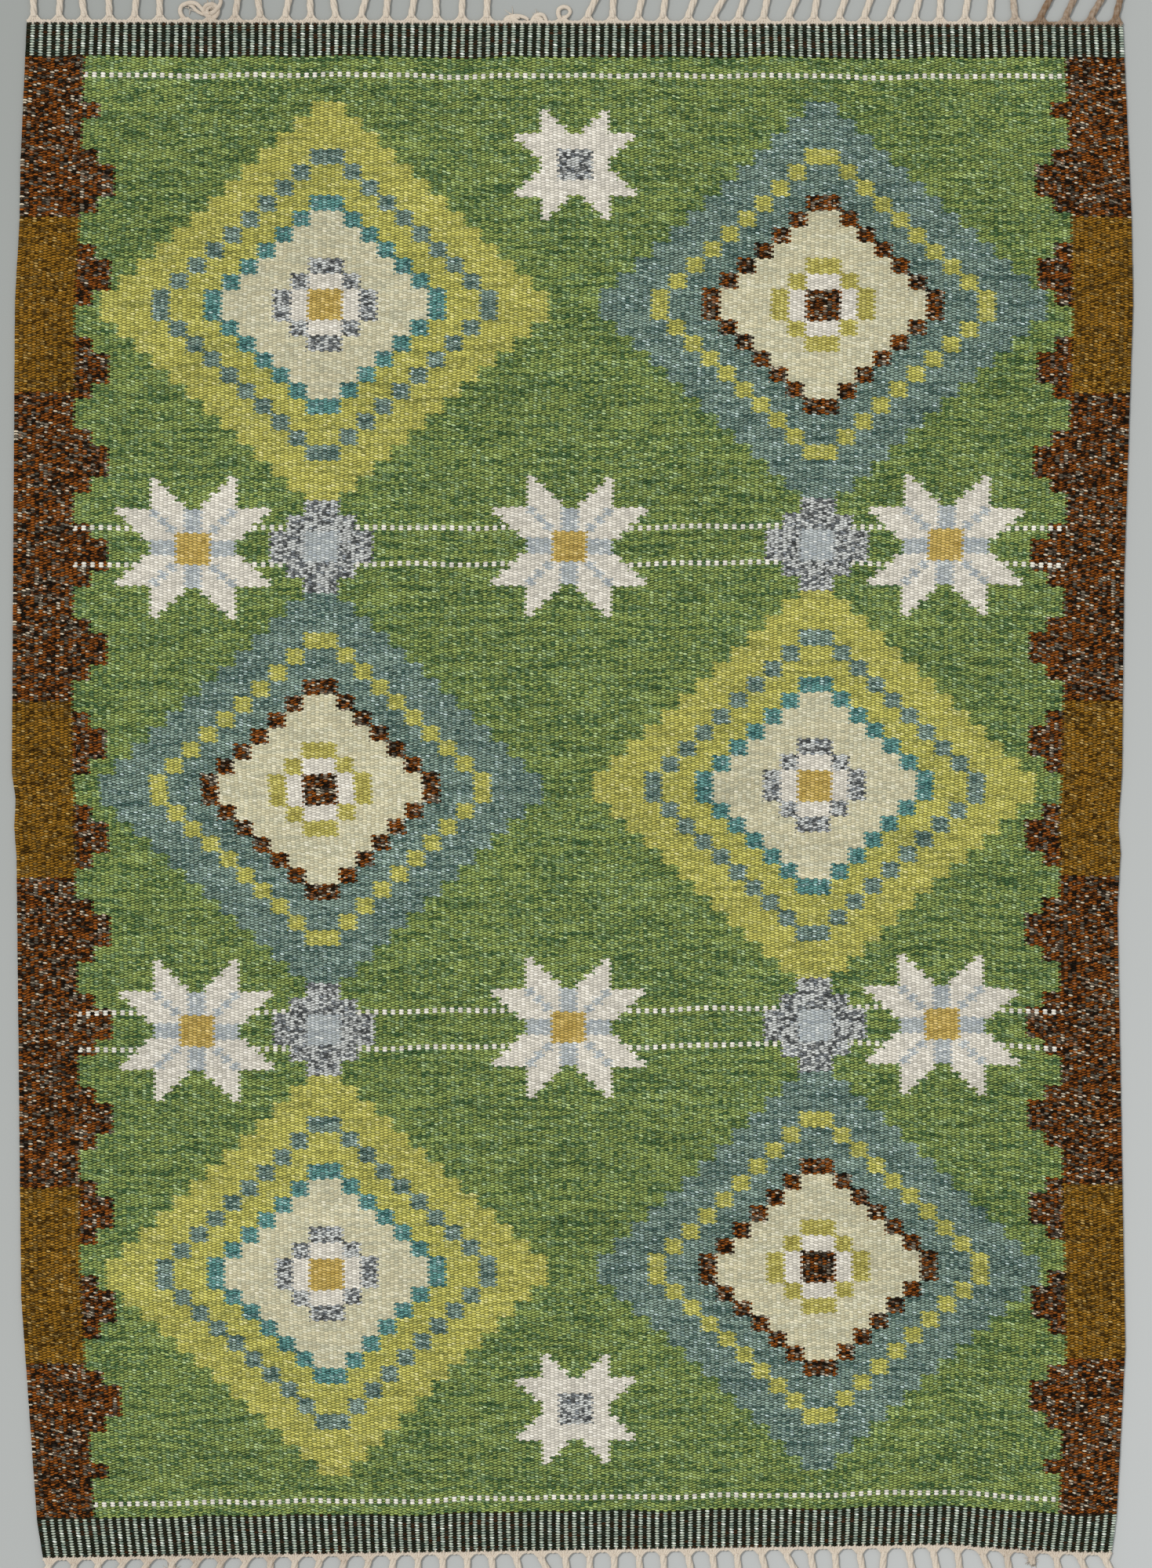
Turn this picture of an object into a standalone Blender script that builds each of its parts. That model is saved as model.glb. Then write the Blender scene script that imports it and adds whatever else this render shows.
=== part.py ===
"""Flatweave rug lying flat on the floor, with a fringe of loose strands at each end.

Metres, +Z up. The length runs along Y and the width along X. The underside is at z = 0.
"""

import math
import random
from collections import namedtuple

import bmesh
import bpy

# Driving sizes
WIDTH = 1.400  # between the straight lines that the selvedges waver about
LENGTH = 1.940  # between the straight lines that the woven ends waver about
THICKNESS = 0.004
ROUNDING = 0.0012  # bevel around the rim of the cloth
GAP = 0.0003  # between the cloth and each edge strip
MM = 0.001

# Fringe
STRANDS = 44  # at each end, six warp ends in each
CORNER_MARGIN = 0.0065  # share of the end between a corner and the first strand
STRIP_WIDTH = 0.0050
STRIP_HEIGHT = 0.0036
STRAND_LENGTH = 0.075
LENGTH_SPREAD = 0.006  # a full strand is up to this much longer or shorter
CURL_DEG = 8.0  # a strand's end turns up to this far to either side
ROOT_BEND = 0.010  # a strand takes up its lean over this length
HELD = 0.026  # a strand keeps its lean up to here, then drifts back
KEPT_LEAN = 0.4  # share of the lean that is left at the tip
TOP_TO_BASE = 0.72  # a strand's upper side is this much narrower than its base
FRINGE_SEED = 11

# How far each selvedge stands out from its straight line, at places along the length.
Selvedge = namedtuple("Selvedge", "along left_mm right_mm")
SELVEDGES = [
    Selvedge(*row)
    for row in (
        (0.968, 0.5, -2.5),
        (0.863, 4.5, 0.5),
        (0.793, 8.5, 3.5),
        (0.723, 9.5, 8.5),
        (0.618, 15.5, 10.5),
        (0.513, 13.0, 7.5),
        (0.373, 11.5, 3.5),
        (0.268, 11.5, -1.0),
        (0.163, 13.5, -1.5),
        (0.093, 15.5, -2.5),
        (0.023, 19.5, -3.5),
        (-0.012, 14.5, -5.5),
        (-0.047, 16.5, -8.5),
        (-0.082, 13.5, -5.5),
        (-0.152, 12.5, -9.5),
        (-0.222, 11.5, -7.5),
        (-0.362, 8.5, -5.5),
        (-0.502, 7.5, -4.5),
        (-0.642, 7.5, -0.5),
        (-0.712, 2.5, 0.5),
        (-0.782, -1.5, -4.5),
        (-0.852, -6.5, -8.5),
        (-0.922, -12.5, -10.5),
        (-0.968, -20.0, -16.5),
    )
]

# How far each woven end stands out from its straight line, at places across the width.
End = namedtuple("End", "across far_mm near_mm")
ENDS = [
    End(*row)
    for row in (
        (-0.690, -1.0, 19.0),
        (-0.600, 0.0, 16.0),
        (-0.510, 1.0, 12.0),
        (-0.420, 1.0, 6.0),
        (-0.330, 4.0, 2.0),
        (-0.240, 7.0, 0.0),
        (-0.150, 6.5, -2.0),
        (-0.060, 6.0, -2.0),
        (0.030, 4.0, -4.0),
        (0.120, 3.0, -5.0),
        (0.210, 2.0, -5.0),
        (0.300, 0.0, -2.0),
        (0.390, -1.0, 1.5),
        (0.480, -2.0, 2.0),
        (0.570, -2.0, 9.0),
        (0.660, -4.0, 12.0),
        (0.700, -4.0, 11.0),
    )
]

# Sections along a strand: where, as a share of its length, and its base width and height.
Section = namedtuple("Section", "share width height")
SECTIONS = [
    Section(*row)
    for row in (
        (0.05, 0.0160, 0.0040),
        (0.11, 0.0110, 0.0048),
        (0.20, 0.0092, 0.0054),
        (0.37, 0.0090, 0.0056),
        (0.56, 0.0088, 0.0056),
        (0.78, 0.0086, 0.0054),
        (1.00, 0.0078, 0.0046),
    )
]
FLARE = 0.0110  # half the width of a strand's root along the strip

# Degrees that each strand leans towards +X, from the left corner to the right one.
FAR_LEANS = (
    (-2, 4, -8, -2, 6, 0, 34, 8, 9, -8, 12)
    + (-2, -10, 16, 5, 10, -1, 3, 2, -30, 20, 24)
    + (26, 3, 14, 8, 21, 30, 20, 12, 24, 10, 20)
    + (20, 20, 15, 4, 10, 5, -6, 28, 26, 32, 14)
)
NEAR_LEANS = (
    (-32, -14, -20, -34, -34, -10, -28, -22, -26, -4, -8)
    + (-18, -13, -14, -9, 0, 2, 3, 6, 16, 30, 8)
    + (0, 0, 5, 3, 13, 8, 6, 15, 30, 10, 4)
    + (10, -6, 12, 12, 6, 25, 10, 14, 15, 24, 30)
)
# Strands that are worn, tangled or folded short, by their place from the left corner.
FAR_SHORT = {6: 0.026, 7: 0.030, 19: 0.013, 20: 0.012, 21: 0.022}
NEAR_SHORT = {5: 0.026, 40: 0.014}


def between(rows, place, name):
    """Straight-line value of a table's column at a place, which its first column gives."""
    rows = sorted(rows)
    place = min(max(place, rows[0][0]), rows[-1][0])
    for low, high in zip(rows, rows[1:]):
        if place <= high[0]:
            share = (place - low[0]) / (high[0] - low[0])
            return getattr(low, name) * (1 - share) + getattr(high, name) * share
    return getattr(rows[-1], name)


def left_edge(along):
    return -WIDTH / 2 - between(SELVEDGES, along, "left_mm") * MM


def right_edge(along):
    return WIDTH / 2 + between(SELVEDGES, along, "right_mm") * MM


def far_edge(across):
    return LENGTH / 2 + between(ENDS, across, "far_mm") * MM


def near_edge(across):
    return -LENGTH / 2 - between(ENDS, across, "near_mm") * MM


def mix(a, b, share):
    return a + (b - a) * share


def on_cloth(across_share, along):
    """A point of the cloth in plan: a share of the width, and a place on a straight rug."""
    x = mix(left_edge(along), right_edge(along), across_share)
    share = along / LENGTH + 0.5
    return x, mix(near_edge(x), far_edge(x), share)


def root_shares():
    """Share of the width at which each strand leaves the cloth."""
    return [mix(CORNER_MARGIN, 1 - CORNER_MARGIN, k / (STRANDS - 1)) for k in range(STRANDS)]


def material(name, colour, roughness):
    made = bpy.data.materials.new(name)
    made.use_nodes = True
    shader = made.node_tree.nodes["Principled BSDF"]
    shader.inputs["Base Color"].default_value = (*colour, 1.0)
    shader.inputs["Roughness"].default_value = roughness
    shader.inputs["Metallic"].default_value = 0.0
    return made


def node(name, bm, finish):
    """One closed solid as an object of its own."""
    bmesh.ops.recalc_face_normals(bm, faces=bm.faces)
    mesh = bpy.data.meshes.new(name)
    bm.to_mesh(mesh)
    bm.free()
    mesh.materials.append(finish)
    made = bpy.data.objects.new(name, mesh)
    bpy.context.scene.collection.objects.link(made)
    return made


def cloth(finish):
    """The woven cloth: one flat sheet with the uneven outline and a rounded rim."""
    alongs = [LENGTH / 2] + [row.along for row in SELVEDGES[1:-1]] + [-LENGTH / 2]
    shares = [0.0] + [(a + b) / 2 for a, b in zip(root_shares(), root_shares()[1:])] + [1.0]
    bm = bmesh.new()
    rows = [[bm.verts.new((*on_cloth(s, along), 0.0)) for s in shares] for along in alongs]
    for row, below in zip(rows, rows[1:]):
        for i in range(len(shares) - 1):
            bm.faces.new((row[i], row[i + 1], below[i + 1], below[i]))
    raised = bmesh.ops.extrude_face_region(bm, geom=bm.faces[:], use_keep_orig=True)["geom"]
    for part in raised:
        if isinstance(part, bmesh.types.BMVert):
            part.co.z = THICKNESS
    rim = [e for e in bm.edges if not is_upright(e) and any(is_wall(f) for f in e.link_faces)]
    bmesh.ops.bevel(bm, geom=rim, offset=ROUNDING, segments=2, profile=0.5, affect="EDGES")
    return node("rug_cloth", bm, finish)


def is_wall(face):
    """Whether a face runs from the underside to the top."""
    heights = [v.co.z for v in face.verts]
    return max(heights) - min(heights) > THICKNESS / 2


def is_upright(edge):
    a, b = edge.verts
    return abs(a.co.z - b.co.z) > THICKNESS / 2


def heading(lean, curl, run, length):
    """Angle from straight out, a run along the strand."""
    taken_up = min(1.0, run / ROOT_BEND)
    loose = min(1.0, max(0.0, (run - HELD) / max(length - HELD, HELD)))
    return math.radians(lean * taken_up * mix(1.0, KEPT_LEAN, loose) + curl * loose)


def strand_line(lean, curl, length, steps=60):
    """Places and headings along a strand that starts at (0, 0) and runs towards +Y."""
    x, y = 0.0, 0.0
    line = [(x, y, 0.0)]
    for i in range(steps):
        angle = heading(lean, curl, (i + 0.5) / steps * length, length)
        x += math.sin(angle) * length / steps
        y += math.cos(angle) * length / steps
        line.append((x, y, angle))
    return line


def skin(bm, ring, following):
    """Four faces between two rings of four corners."""
    for i in range(4):
        j = (i + 1) % 4
        bm.faces.new((ring[i], ring[j], following[j], following[i]))


def strand(bm, root, start, side, lean, curl, length):
    """One four-sided strand, level on the floor, drawn out of the strip's root face."""
    line = strand_line(lean, curl, length)
    ring = root
    for section in SECTIONS:
        x, y, angle = line[round(section.share * (len(line) - 1))]
        centre_x, centre_y = start[0] + x, start[1] + side * y
        reach_x = math.cos(angle) * section.width / 2
        reach_y = -side * math.sin(angle) * section.width / 2
        corners = []
        for way, level in ((-1, 0), (1, 0), (1, 1), (-1, 1)):
            out = way * (TOP_TO_BASE if level else 1.0)
            place = (centre_x + out * reach_x, centre_y + out * reach_y, level * section.height)
            corners.append(bm.verts.new(place))
        skin(bm, ring, corners)
        ring = corners
    bm.faces.new(ring)


def fringe(name, finish, side, leans, short):
    """The edge strip of one end and the strands fused into it."""
    edge = far_edge if side > 0 else near_edge
    left, right = on_cloth(0.0, side * LENGTH / 2)[0], on_cloth(1.0, side * LENGTH / 2)[0]
    roots = [mix(left, right, share) for share in root_shares()]
    draw = random.Random(FRINGE_SEED + side)
    bm = bmesh.new()

    def station(x):
        """The strip's four corners at one place: underside in and out, then top."""
        inner, outer = edge(x) + side * GAP, edge(x) + side * (GAP + STRIP_WIDTH)
        places = ((x, inner, 0), (x, outer, 0), (x, outer, STRIP_HEIGHT), (x, inner, STRIP_HEIGHT))
        return [bm.verts.new(place) for place in places]

    before = station(left)
    bm.faces.new(before)
    for root, lean, k in zip(roots, leans, range(STRANDS)):
        flare = min(FLARE, (root - left) * 0.9, (right - root) * 0.9)
        a, b = station(root - flare), station(root + flare)
        skin(bm, before, a)
        for i, j in ((0, 1), (2, 3), (3, 0)):
            bm.faces.new((a[i], a[j], b[j], b[i]))
        curl = draw.uniform(-CURL_DEG, CURL_DEG)
        full = STRAND_LENGTH + draw.uniform(-LENGTH_SPREAD, LENGTH_SPREAD)
        start = root, edge(root) + side * (GAP + STRIP_WIDTH)
        root_face = [a[1], b[1], b[2], a[2]]
        strand(bm, root_face, start, side, lean, curl, short.get(k, full))
        before = b
    last = station(right)
    skin(bm, before, last)
    bm.faces.new(last)
    return node(name, bm, finish)


def stand_on_centre(pieces):
    """Parents the pieces to an empty so that their box is centred on the origin."""
    places = [v.co for piece in pieces for v in piece.data.vertices]
    middle = [(min(p[i] for p in places) + max(p[i] for p in places)) / 2 for i in (0, 1)]
    centre = bpy.data.objects.new("rug_centre", None)
    centre.location = (-middle[0], -middle[1], 0.0)
    bpy.context.scene.collection.objects.link(centre)
    for piece in pieces:
        piece.parent = centre


def main():
    for old in list(bpy.data.objects):
        bpy.data.objects.remove(old)
    wool = material("woven_wool", (0.17, 0.20, 0.09), 0.9)
    warp = material("warp_yarn", (0.56, 0.49, 0.40), 0.9)
    pieces = [
        cloth(wool),
        fringe("fringe_far", warp, 1, FAR_LEANS, FAR_SHORT),
        fringe("fringe_near", warp, -1, NEAR_LEANS, NEAR_SHORT),
    ]
    stand_on_centre(pieces)


main()
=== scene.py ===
"""Looks of the flatweave rug: ribbed weave, heathered yarns, twined ends and plied fringe cords.

Metres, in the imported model's frame: +Z up, the rug's length along Y. Cloth and cords are laid
out in the cloth's own terms: a share of its width, and a share of its length from the near end.
"""

import math
import random
from collections import namedtuple

import bpy
import numpy as np
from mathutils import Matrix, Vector


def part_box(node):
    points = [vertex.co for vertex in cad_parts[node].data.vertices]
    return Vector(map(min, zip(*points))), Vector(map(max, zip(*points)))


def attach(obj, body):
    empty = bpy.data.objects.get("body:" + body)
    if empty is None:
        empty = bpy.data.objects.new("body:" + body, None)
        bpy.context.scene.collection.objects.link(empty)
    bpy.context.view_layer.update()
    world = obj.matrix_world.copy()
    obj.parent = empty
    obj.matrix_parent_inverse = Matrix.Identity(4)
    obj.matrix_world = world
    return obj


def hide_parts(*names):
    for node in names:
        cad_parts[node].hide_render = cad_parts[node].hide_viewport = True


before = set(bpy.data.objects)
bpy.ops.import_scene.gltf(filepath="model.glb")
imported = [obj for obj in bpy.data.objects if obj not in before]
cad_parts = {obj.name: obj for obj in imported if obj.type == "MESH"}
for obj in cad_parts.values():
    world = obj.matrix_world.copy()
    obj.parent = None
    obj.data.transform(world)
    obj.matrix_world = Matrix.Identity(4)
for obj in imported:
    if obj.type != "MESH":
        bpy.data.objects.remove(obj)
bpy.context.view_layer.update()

MM = 0.001
BODY = "root"

# The weave, in warp ends across and in picks along
WARPS = 260
PICKS = 1176
CELL_WARPS = 4
CELL_PICKS = 12
CELLS_ALONG = PICKS / CELL_PICKS
WEAVE_MAP = "Weave"
BAKE_MAP = "OFBake"

# The woven pattern, in cells counted from the rug's middle
FIELD_HALF = 29.0  # the field's edge, where the side borders begin
FAR_BAND_PICKS = 26
NEAR_BAND_PICKS = 30
BROWN_HALF = 5.6
TOOTH_DEPTH = 3.0
TOOTH_PERIOD = 6.0
TEETH_REACH = 44.0
DIAMOND_ACROSS = 14.5
DIAMOND_PITCH = 31.0
DIAMOND_ROWS = 3
# Reach of each ring, and its yarn in the two kinds of diamond
DIAMOND_LAYERS = (
    (13.5, "teal", "yellow_green"),
    (10.5, "yellow_green", "teal"),
    (9.5, "teal", "yellow_green"),
    (7.5, "rust", "deep_teal"),
    (6.5, "cream", "cream"),
    (3.5, "lime", "grey_heather"),
    (2.5, "off_white", "off_white"),
    (1.5, "rust", "ochre"),
)
STAR_PITCH = 22.0
STAR_ROW = 15.5
STAR_SIZE = 5.0
END_STAR_ROW = 40.0
END_STAR_SIZE = 4.0
STAR_MIDDLE = 2.0
BETWEEN_SIZE = 3.5
BETWEEN_MIDDLE = 1.5
DOTTED_LINES = (14.4, 16.6, 45.6)
DOT_HALF = 2.1 / CELL_PICKS

# Beads of weft
BEAD_OVERLAP = 0.10  # how far a bead reaches into the next rib, in ribs
BEAD_HALF = 0.70
BEAD_SLANT = 0.5
JOIN_DEPTH = 0.35
# How far apart the noise of two pairs of picks lies, and that of the two picks of a pair
ROW_STEP = 7.31
PAIR_STEP = 0.45

# Surface of the cloth
SEGMENTS = 3  # faces across one rib
INNER_ROWS = 108
RIB_DEPTH = 0.7 * MM
RIM_HEIGHT = 2.0 * MM
END_ROUND = 3.0 * MM
REST_GAP = 0.1 * MM
UNDER_RIBS = 10  # ribs to one face of the underside
SELVEDGE_RADIUS = 1.9 * MM
SELVEDGE_INSET = 0.75  # of its radius, from the outline to its middle
SELVEDGE_RISE = 1.10
DRIFT_ACROSS = 0.9 * MM
DRIFT_ALONG = 2.0 * MM
SWELL = 0.15 * MM
LOOSE_BY = 0.03  # metres from an edge at which the cloth is free to drift

# Finishes
SPECULAR = 0.08
SHEEN_ROUGHNESS = 0.6
BEAD_BUMP = 0.9 * MM
YARN_BUMP = 0.5 * MM

# Shares of the bake's width that the cloth's two sides take
UPPER_BAKE = 0.8
UNDER_BAKE = 0.18
UNDER_BAKE_AT = 0.82

# Fringe, as its solids have it
STRANDS = 44
CORNER_MARGIN = 0.0065
STRIP_WIDTH = 5.0 * MM
STRAND_LENGTH = 75 * MM
LENGTH_SPREAD = 6 * MM
CURL_DEG = 8.0
ROOT_BEND = 10 * MM
HELD = 26 * MM
KEPT_LEAN = 0.4
FRINGE_SEED = 11
FAR_LEANS = (
    (-2, 4, -8, -2, 6, 0, 34, 8, 9, -8, 12)
    + (-2, -10, 16, 5, 10, -1, 3, 2, -30, 20, 24)
    + (26, 3, 14, 8, 21, 30, 20, 12, 24, 10, 20)
    + (20, 20, 15, 4, 10, 5, -6, 28, 26, 32, 14)
)
NEAR_LEANS = (
    (-32, -14, -20, -34, -34, -10, -28, -22, -26, -4, -8)
    + (-18, -13, -14, -9, 0, 2, 3, 6, 16, 30, 8)
    + (0, 0, 5, 3, 13, 8, 6, 15, 30, 10, 4)
    + (10, -6, 12, 12, 6, 25, 10, 14, 15, 24, 30)
)
FAR_SHORT = {6: 26 * MM, 7: 30 * MM, 19: 13 * MM, 20: 12 * MM, 21: 22 * MM}
NEAR_SHORT = {5: 26 * MM, 40: 14 * MM}

# Cords: plies round a strand's middle
CORD_HALF = 4.5 * MM
CORD_FLAT = 0.62  # height to width
CORD_STEP = 2.4 * MM
PLY_RADIUS = 2.4 * MM
PLY_TURN = 58 * MM
PLIES = 4
OPENS_AT = 0.85  # the share of a cord at which its plies begin to part
OPENS_OVER = 0.15
HAIR_RADII = (0.45, 0.5, 0.42, 0.32, 0.15)  # in mm, from root to tip
TIP_HAIRS = 8
TIP_REACH = 7 * MM
TIP_SPREAD = 0.5
FUZZ_REACH = 13 * MM

# Roots: warp ends side by side at the cloth, swept together into a strand
WARP_RADIUS = 1.7 * MM
ENDS_IN_STRAND = 6
ROOT_PITCH = 5.7 * MM
GATHERED_BY = 9 * MM
FOLD_GATHERED_BY = 7 * MM

# The twined edge: middle of the twine, out from the cloth and up, and how far its plies swing
TWINE_OUT = 2.6 * MM
TWINE_SWING = 0.9 * MM
TWINE_HEIGHT = 2.2 * MM
TWINE_RISE = 0.8 * MM
TWINE_RADIUS = 1.35 * MM
# A warp end that shows between two beads at the cloth's edge: how far out and up, in mm
NUB = ((-2.2, 2.9), (-1.6, 3.4), (-0.3, 3.7), (1.2, 3.6), (2.6, 2.8))
NUB_RADII = (0.3, 1.0, 1.35, 1.3, 0.8)

# Strands that aren't plain cords: middles of their turns, across and out from the root, in mm
FOLDED = {
    6: (
        ((0, 5), (-4, 10), (-6, 16), (-4, 22), (2, 25), (9, 22), (15, 16), (22, 12), (30, 11)),
        ((-3, 23), (6, 26), (14, 25), (20, 20), (25, 14), (32, 12)),
    ),
    7: (
        ((0, 5), (0, 10), (-4, 15), (-2, 20), (5, 22), (9, 17), (5, 12), (-2, 12), (-6, 16)),
        ((4, 6), (9, 11), (10, 18), (4, 24), (-4, 23), (-8, 17), (-5, 10), (2, 9), (8, 13)),
        ((0, 12), (6, 15), (12, 22), (14, 28), (12, 31)),
    ),
    19: (
        ((-9, 4), (-5, 8), (2, 10), (10, 10), (17, 8), (21, 5)),
        ((-2, 5), (3, 8), (10, 8)),
    ),
    20: (((-6, 4), (-3, 9), (2, 12), (8, 11), (11, 6), (12, 3)), ((-2, 6), (3, 7), (7, 5))),
    21: (
        ((1, 4), (-3, 8), (-5, 13), (-4, 19), (2, 22), (8, 20), (10, 15), (6, 10), (0, 9)),
        ((0, 4), (4, 8), (9, 12)),
    ),
}
FOLDED_RADIUS = 3.0 * MM

# Where each end's fringe is browned: strand number, and how much at it
FAR_DIRT = ((0, 0.10), (4, 0.22), (7, 0.38), (10, 0.15), (38, 0.15), (40, 0.75), (43, 0.70))
NEAR_DIRT = ((0, 0.30), (5, 0.42), (12, 0.32), (16, 0.12), (36, 0.12), (40, 0.40), (43, 0.15))
# Loose hairs at the middle of some strands, by end and strand number
FUZZY = {1: {6: 5, 7: 34, 19: 6, 20: 4}, -1: {5: 6, 38: 6, 40: 26}}

# Floor and light
FLOOR_SIZE = 40.0
FLOOR_FADE = 1.1  # metres from the middle over which the floor grows lighter
ROOM_LIGHT = 0.62
KEY_LIGHT = 1.35
KEY_SPREAD_DEG = 11
KEY_AIM = (0.62, -0.42, -1.0)

# Camera: the whole photograph, square on
VIEW_WIDTH = 1.469
VIEW_LENGTH = 2.000
LEFT_MARGIN = 15 * MM  # from the view's left side to the cloth
FAR_MARGIN = 21 * MM
LENS_MM = 100.0
SENSOR_MM = 36.0


def linear(red, green, blue):
    """A colour given as 0 to 255 on a screen, as light."""
    shares = [c / 255 for c in (red, green, blue)]
    return tuple(c / 12.92 if c <= 0.04045 else ((c + 0.055) / 1.055) ** 2.4 for c in shares)


Yarn = namedtuple("Yarn", "name main second fleck seconds flecks grain depth")
# Screen colours of each yarn's fibres, the shares of the second and the fleck, how short the
# streaks are from 0 to 1, and how strong the painted shade between its beads and ribs and the
# painted highlight on its bead crests are, from 0 to 1.
YARNS = [
    Yarn(*row)
    for row in (
        ("green", (154, 171, 94), (68, 98, 60), (176, 195, 144), 0.49, 0.05, 0.30, 0.78),
        ("teal", (144, 166, 150), (72, 98, 90), (186, 203, 198), 0.48, 0.06, 0.30, 0.78),
        ("yellow_green", (208, 203, 104), (152, 154, 82), (218, 212, 148), 0.38, 0.05, 0.25, 0.60),
        ("cream", (232, 223, 184), (212, 209, 178), (238, 232, 208), 0.45, 0.05, 0.20, 0.16),
        ("rust", (150, 84, 28), (25, 18, 10), (198, 184, 160), 0.66, 0.08, 0.60, 0.80),
        ("brown", (155, 111, 34), (62, 42, 9), (178, 146, 82), 0.49, 0.06, 0.50, 0.76),
        ("off_white", (244, 237, 221), (232, 225, 208), (250, 245, 233), 0.40, 0.06, 0.20, 0.20),
        ("grey_heather", (226, 228, 223), (72, 74, 74), (158, 164, 168), 0.48, 0.08, 0.85, 0.50),
        ("ochre", (218, 188, 104), (188, 158, 80), (230, 206, 142), 0.42, 0.06, 0.30, 0.40),
        ("pale_blue", (204, 210, 208), (172, 180, 184), (236, 236, 228), 0.45, 0.08, 0.50, 0.30),
        ("deep_teal", (112, 166, 158), (52, 92, 90), (188, 214, 208), 0.42, 0.06, 0.50, 0.62),
        ("lime", (202, 192, 102), (164, 154, 78), (222, 214, 144), 0.40, 0.06, 0.30, 0.46),
        ("band_dark", (32, 35, 22), (64, 38, 18), (36, 52, 48), 0.20, 0.04, 0.10, 0.66),
        ("band_pale", (182, 191, 172), (124, 140, 126), (218, 221, 211), 0.48, 0.08, 0.70, 0.94),
        ("dot", (250, 245, 231), (238, 232, 215), (252, 249, 238), 0.30, 0.06, 0.50, 0.16),
    )
]
YARN = {yarn.name: i for i, yarn in enumerate(YARNS)}


class Field:
    """A number at each point of a surface. Arithmetic on it adds Math nodes to its material."""

    def __init__(self, tree, socket):
        self.tree = tree
        self.socket = socket

    def node(self, operation, *values):
        made = self.tree.nodes.new("ShaderNodeMath")
        made.operation = operation
        for slot, value in zip(made.inputs, values):
            if isinstance(value, Field):
                self.tree.links.new(value.socket, slot)
            else:
                slot.default_value = value
        return Field(self.tree, made.outputs[0])

    def __add__(self, other):
        return self.node("ADD", self, other)

    def __radd__(self, other):
        return self.node("ADD", other, self)

    def __sub__(self, other):
        return self.node("SUBTRACT", self, other)

    def __rsub__(self, other):
        return self.node("SUBTRACT", other, self)

    def __mul__(self, other):
        return self.node("MULTIPLY", self, other)

    def __rmul__(self, other):
        return self.node("MULTIPLY", other, self)

    def __truediv__(self, other):
        return self.node("DIVIDE", self, other)

    def __pow__(self, other):
        return self.node("POWER", self, other)

    def __lt__(self, other):
        return self.node("LESS_THAN", self, other)

    def __gt__(self, other):
        return self.node("GREATER_THAN", self, other)

    def __and__(self, other):
        return self.node("MULTIPLY", self, other)

    def __or__(self, other):
        return self.node("MAXIMUM", self, other)

    def __abs__(self):
        return self.node("ABSOLUTE", self)

    def floor(self):
        return self.node("FLOOR", self)

    def cosine(self):
        return self.node("COSINE", self)

    def wrapped(self, period):
        return self.node("FLOORED_MODULO", self, period)

    def least(self, other):
        return self.node("MINIMUM", self, other)

    def most(self, other):
        return self.node("MAXIMUM", self, other)

    def swapped(self, mask, other):
        """This field, but the other where the mask is 1."""
        return self + mask * (other - self)

    def ramp(self, low, high):
        """From 0 at low to 1 at high, smoothly."""
        made = self.tree.nodes.new("ShaderNodeMapRange")
        made.interpolation_type = "SMOOTHSTEP"
        self.tree.links.new(self.socket, made.inputs["Value"])
        made.inputs["From Min"].default_value = low
        made.inputs["From Max"].default_value = high
        return Field(self.tree, made.outputs["Result"])


def noise(tree, across, along, detail=1.0, depth=0.0):
    """Soft noise from 0 to 1 at a place, where one unit is about one lump."""
    spot = tree.nodes.new("ShaderNodeCombineXYZ")
    for slot, value in zip(spot.inputs, (across, along, depth)):
        if isinstance(value, Field):
            tree.links.new(value.socket, slot)
        else:
            slot.default_value = value
    made = tree.nodes.new("ShaderNodeTexNoise")
    made.inputs["Scale"].default_value = 1.0
    made.inputs["Detail"].default_value = detail
    tree.links.new(spot.outputs[0], made.inputs["Vector"])
    return Field(tree, made.outputs["Fac"])


def speckle(tree, across, along):
    """A random number from 0 to 1 for each whole place."""
    spot = tree.nodes.new("ShaderNodeCombineXYZ")
    tree.links.new(across.socket, spot.inputs[0])
    tree.links.new(along.socket, spot.inputs[1])
    made = tree.nodes.new("ShaderNodeTexWhiteNoise")
    made.noise_dimensions = "2D"
    tree.links.new(spot.outputs[0], made.inputs["Vector"])
    return Field(tree, made.outputs["Value"])


def lookup(tree, index, colours):
    """The node that gives the colour at an index of a list, as a stepped ramp."""
    made = tree.nodes.new("ShaderNodeValToRGB")
    made.color_ramp.interpolation = "CONSTANT"
    stops = made.color_ramp.elements
    while len(stops) < len(colours):
        stops.new(0.5)
    for i, colour in enumerate(colours):
        stops[i].position = i / len(colours)
        stops[i].color = colour if len(colour) == 4 else (*colour, 1.0)
    share = (index + 0.5) / len(colours)
    tree.links.new(share.socket, made.inputs["Fac"])
    return made


def blended(tree, share, first, second):
    """Two colours mixed by a share."""
    made = tree.nodes.new("ShaderNodeMix")
    made.data_type = "RGBA"
    tree.links.new(share.socket, made.inputs[0])
    for slot, value in ((made.inputs[6], first), (made.inputs[7], second)):
        if isinstance(value, bpy.types.NodeSocket):
            tree.links.new(value, slot)
        else:
            slot.default_value = (*value, 1.0)
    return made.outputs[2]


def brightened(tree, colour, factor):
    """A colour times a field."""
    made = tree.nodes.new("ShaderNodeVectorMath")
    made.operation = "SCALE"
    tree.links.new(colour, made.inputs[0])
    tree.links.new(factor.socket, made.inputs["Scale"])
    return made.outputs[0]


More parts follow.
